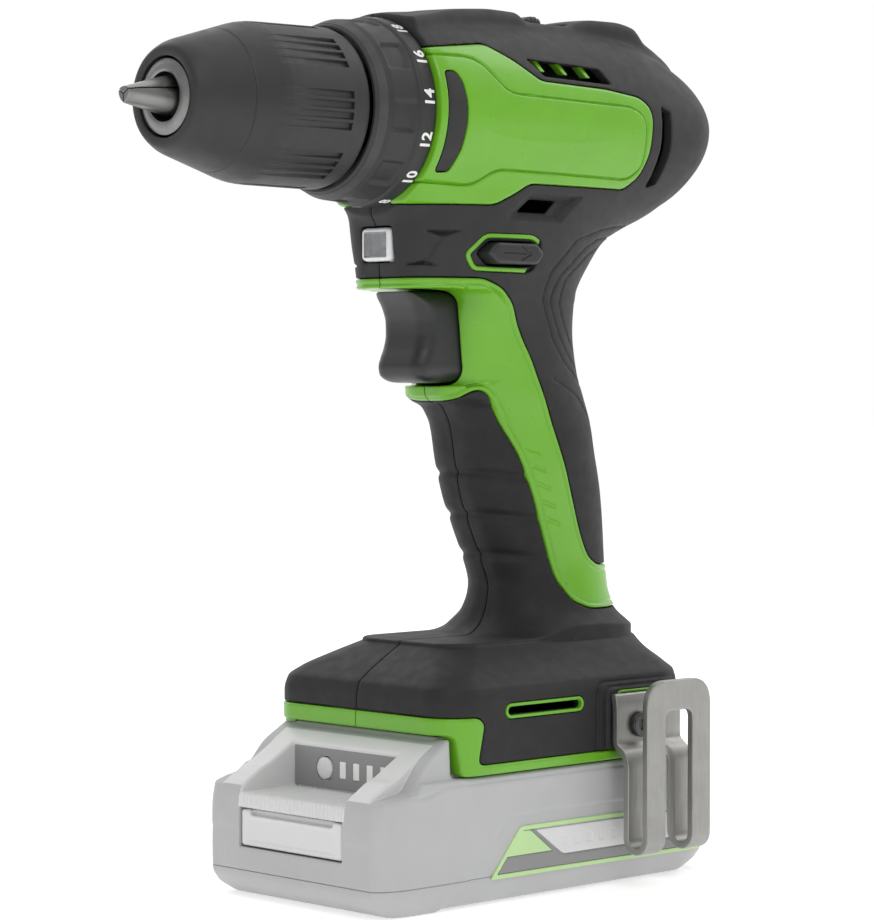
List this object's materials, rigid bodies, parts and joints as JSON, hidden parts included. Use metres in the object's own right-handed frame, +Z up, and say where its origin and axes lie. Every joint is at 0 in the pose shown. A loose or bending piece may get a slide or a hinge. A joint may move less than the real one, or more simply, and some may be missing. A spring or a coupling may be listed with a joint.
{
  "type": "cordless drill",
  "caption": "Pistol-grip cordless drill driver with a keyless three-jaw chuck, torque collar, trigger, belt clip and a slide-on battery pack.",
  "frame": {"origin": "in the mid-plane on the underside of the battery pack, on the surface that the drill stands on", "axes": "-X along the spindle to the chuck, +X to the rear of the tool, +Z up, -Y the side with the belt clip"},
  "size_m": [0.2087, 0.0899, 0.2487],
  "materials": {
    "housing_plastic": "fine grained charcoal",
    "gloss_green": "gloss",
    "chuck_plastic": "fine grained black",
    "chuck_steel": "satin",
    "jaw_steel": "ground",
    "collar_plastic": "satin",
    "drive_steel": "machined",
    "gearbox_plastic": "moulded",
    "motor_iron": "laminated",
    "copper_wire": "enamelled",
    "harness_rubber": "smooth",
    "control_plastic": "satin",
    "clear_lens": "clear",
    "circuit_board": "lacquered",
    "clip_steel": "blasted",
    "screw_steel": "blackened",
    "pack_plastic": "pale frosted",
    "pack_latch_plastic": "pale frosted",
    "cell_wrap": "shrink film"
  },
  "bodies": {
    "housing": {"left_housing": "housing_plastic", "right_housing": "housing_plastic", "left_side_panel": "gloss_green", "right_side_panel": "gloss_green", "left_grip_stripe": "gloss_green", "right_grip_stripe": "gloss_green", "left_base_rim": "gloss_green", "right_base_rim": "gloss_green", "clutch_spring": "drive_steel", "ring_gear": "drive_steel", "spindle_bearing": "drive_steel", "rear_bearing": "drive_steel", "trigger_spring": "drive_steel", "gearbox_case": "gearbox_plastic", "motor_plate": "gearbox_plastic", "switch_module": "gearbox_plastic", "terminal_block": "gearbox_plastic", "motor_stator": "motor_iron", "stator_winding": "copper_wire", "wiring_harness": "harness_rubber", "led_lens": "clear_lens", "controller_board": "circuit_board", "belt_clip": "clip_steel", "belt_clip_screw": "screw_steel", "housing_screw_1": "screw_steel", "housing_screw_2": "screw_steel", "housing_screw_3": "screw_steel", "housing_screw_4": "screw_steel", "housing_screw_5": "screw_steel", "housing_screw_6": "screw_steel"},
    "spindle": {"planet_carrier": "drive_steel", "chuck_body": "chuck_steel", "chuck_screw": "chuck_steel"},
    "planet_gear_1": {"planet_1": "drive_steel"},
    "planet_gear_2": {"planet_2": "drive_steel"},
    "planet_gear_3": {"planet_3": "drive_steel"},
    "rotor": {"motor_rotor": "motor_iron", "cooling_fan": "gearbox_plastic"},
    "sleeve": {"chuck_sleeve": "chuck_plastic", "chuck_nut": "chuck_steel"},
    "jaw_slide_1": {"jaw_1": "jaw_steel"},
    "jaw_slide_2": {"jaw_2": "jaw_steel"},
    "jaw_slide_3": {"jaw_3": "jaw_steel"},
    "collar": {"torque_collar": "collar_plastic"},
    "clutch": {"clutch_nut": "drive_steel"},
    "selector": {"speed_selector": "control_plastic"},
    "lever": {"direction_lever": "control_plastic"},
    "trigger_body": {"trigger": "control_plastic"},
    "battery": {"battery_tray": "pack_plastic", "battery_cover": "pack_plastic", "battery_board": "circuit_board", "latch_spring": "drive_steel", "cell_1": "cell_wrap", "cell_2": "cell_wrap", "cell_3": "cell_wrap", "cell_4": "cell_wrap", "cell_5": "cell_wrap", "cell_6": "cell_wrap"},
    "latch": {"battery_latch": "pack_latch_plastic"},
    "button": {"gauge_button": "pack_latch_plastic"}
  },
  "joints": [
    {"name": "spindle_spin", "type": "hinge", "parent": "housing", "child": "spindle", "pos_m": [-0.05, 0, 0.218], "axis": [1, 0, 0], "continuous": true},
    {"name": "motor_spin", "type": "hinge", "parent": "housing", "child": "rotor", "pos_m": [0.03, 0, 0.218], "axis": [1, 0, 0], "continuous": true},
    {"name": "planet_spin_1", "type": "hinge", "parent": "spindle", "child": "planet_gear_1", "pos_m": [-0.01, 0, 0.23015], "axis": [1, 0, 0], "continuous": true},
    {"name": "planet_spin_2", "type": "hinge", "parent": "spindle", "child": "planet_gear_2", "pos_m": [-0.01, -0.01052, 0.21193], "axis": [1, 0, 0], "continuous": true},
    {"name": "planet_spin_3", "type": "hinge", "parent": "spindle", "child": "planet_gear_3", "pos_m": [-0.01, 0.01052, 0.21193], "axis": [1, 0, 0], "continuous": true},
    {"name": "sleeve_turn", "type": "hinge", "parent": "spindle", "child": "sleeve", "pos_m": [-0.09, 0, 0.218], "axis": [-1, 0, 0], "range_deg": [0, 3600]},
    {"name": "jaw_travel_1", "type": "slide", "parent": "spindle", "child": "jaw_slide_1", "axis": [0.9673, 0, 0.2538], "range_m": [0, 0.024]},
    {"name": "jaw_travel_2", "type": "slide", "parent": "spindle", "child": "jaw_slide_2", "axis": [0.9673, -0.2198, -0.1269], "range_m": [0, 0.024]},
    {"name": "jaw_travel_3", "type": "slide", "parent": "spindle", "child": "jaw_slide_3", "axis": [0.9673, 0.2198, -0.1269], "range_m": [0, 0.024]},
    {"name": "collar_turn", "type": "hinge", "parent": "housing", "child": "collar", "pos_m": [-0.05, 0, 0.218], "axis": [-1, 0, 0], "range_deg": [0, 245.5]},
    {"name": "clutch_travel", "type": "slide", "parent": "housing", "child": "clutch", "axis": [-1, 0, 0], "range_m": [0, 0.0036], "deforming": ["clutch_spring"]},
    {"name": "speed_slide", "type": "slide", "parent": "housing", "child": "selector", "axis": [1, 0, 0], "range_m": [0, 0.0068]},
    {"name": "direction_slide", "type": "slide", "parent": "housing", "child": "lever", "axis": [0, 1, 0], "range_m": [-0.0025, 0.0025]},
    {"name": "trigger_pull", "type": "slide", "parent": "housing", "child": "trigger_body", "axis": [1, 0, 0], "range_m": [0, 0.007], "stiffness_N_per_m": 600, "springref_m": -0.006, "deforming": ["trigger_spring"]},
    {"name": "battery_slide", "type": "slide", "parent": "housing", "child": "battery", "axis": [-1, 0, 0], "range_m": [0, 0.11]},
    {"name": "latch_press", "type": "slide", "parent": "battery", "child": "latch", "axis": [1, 0, 0], "range_m": [0, 0.0035], "stiffness_N_per_m": 900, "springref_m": -0.004, "deforming": ["latch_spring"]},
    {"name": "gauge_press", "type": "slide", "parent": "battery", "child": "button", "axis": [1, 0, 0], "range_m": [0, 0.001], "stiffness_N_per_m": 700, "springref_m": -0.001}
  ],
  "couplings": [
    {"joint": "motor_spin", "follows": "spindle_spin", "ratio": 4.5},
    {"joint": "planet_spin_1", "follows": "spindle_spin", "ratio": -2.8},
    {"joint": "planet_spin_2", "follows": "spindle_spin", "ratio": -2.8},
    {"joint": "planet_spin_3", "follows": "spindle_spin", "ratio": -2.8},
    {"joint": "jaw_travel_1", "follows": "sleeve_turn", "m_per_rad": 0.00038038},
    {"joint": "jaw_travel_2", "follows": "sleeve_turn", "m_per_rad": 0.00038038},
    {"joint": "jaw_travel_3", "follows": "sleeve_turn", "m_per_rad": 0.00038038},
    {"joint": "clutch_travel", "follows": "collar_turn", "m_per_rad": 0.00083551}
  ]
}
